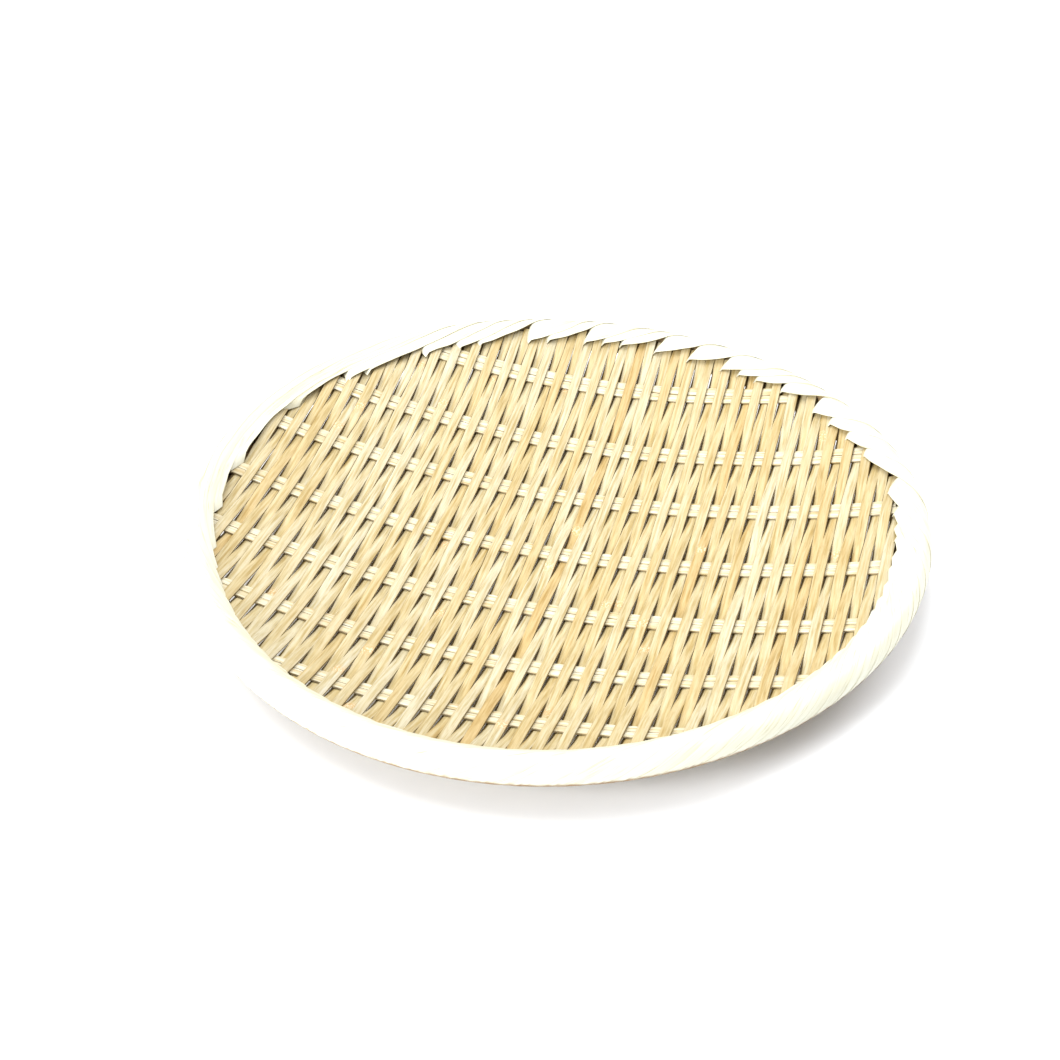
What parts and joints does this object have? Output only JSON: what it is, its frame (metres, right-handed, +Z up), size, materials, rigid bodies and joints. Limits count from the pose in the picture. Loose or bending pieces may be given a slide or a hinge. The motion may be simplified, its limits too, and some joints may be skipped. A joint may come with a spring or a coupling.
{
  "type": "woven tray basket",
  "caption": "Round shallow bamboo tray basket of flat strands woven over and under paired cross strips, with a thick bound rim, for winnowing, draining or drying food.",
  "frame": {"origin": "under the middle of the tray, on the surface that it stands on", "axes": "+Z up through the open top; X along the paired cross strips; Y along the dense strands, so the tray is seen from -Y"},
  "size_m": [0.298, 0.3016, 0.0276],
  "materials": {
    "strand_bamboo": "dry split bamboo, straw coloured with tan streaks, satin",
    "cross_strip_bamboo": "pale split bamboo, satin",
    "wrap_bamboo": "ivory bamboo skin strip, smooth satin",
    "hoop_bamboo": "split bamboo rod, matt"
  },
  "bodies": {
    "root": {"strands_01_02": "strand_bamboo", "strands_03_04": "strand_bamboo", "strands_05_06": "strand_bamboo", "strands_07_08": "strand_bamboo", "strands_09_10": "strand_bamboo", "strands_11_12": "strand_bamboo", "strands_13_14": "strand_bamboo", "strands_15_16": "strand_bamboo", "strands_17_18": "strand_bamboo", "strands_19_20": "strand_bamboo", "strands_21_22": "strand_bamboo", "strands_23_24": "strand_bamboo", "strands_25_26": "strand_bamboo", "strands_27_28": "strand_bamboo", "strands_29_30": "strand_bamboo", "strands_31_32": "strand_bamboo", "strands_33_34": "strand_bamboo", "strands_35_36": "strand_bamboo", "strands_37_38": "strand_bamboo", "strands_39_40": "strand_bamboo", "strands_41_42": "strand_bamboo", "strands_43_44": "strand_bamboo", "strands_45_46": "strand_bamboo", "strands_47_48": "strand_bamboo", "strands_49_50": "strand_bamboo", "strands_51_52": "strand_bamboo", "strands_53_54": "strand_bamboo", "strands_55_56": "strand_bamboo", "strands_57_58": "strand_bamboo", "strands_59_60": "strand_bamboo", "strands_61_62": "strand_bamboo", "strands_63_64": "strand_bamboo", "strands_65_66": "strand_bamboo", "cross_strip_1a": "cross_strip_bamboo", "cross_strip_1b": "cross_strip_bamboo", "cross_strip_2a": "cross_strip_bamboo", "cross_strip_2b": "cross_strip_bamboo", "cross_strip_3a": "cross_strip_bamboo", "cross_strip_3b": "cross_strip_bamboo", "cross_strip_4a": "cross_strip_bamboo", "cross_strip_4b": "cross_strip_bamboo", "cross_strip_5a": "cross_strip_bamboo", "cross_strip_5b": "cross_strip_bamboo", "cross_strip_6a": "cross_strip_bamboo", "cross_strip_6b": "cross_strip_bamboo", "cross_strip_7a": "cross_strip_bamboo", "cross_strip_7b": "cross_strip_bamboo", "rim_outer_hoop": "hoop_bamboo", "rim_under_hoop": "hoop_bamboo", "rim_wrap": "wrap_bamboo"}
  },
  "joints": []
}
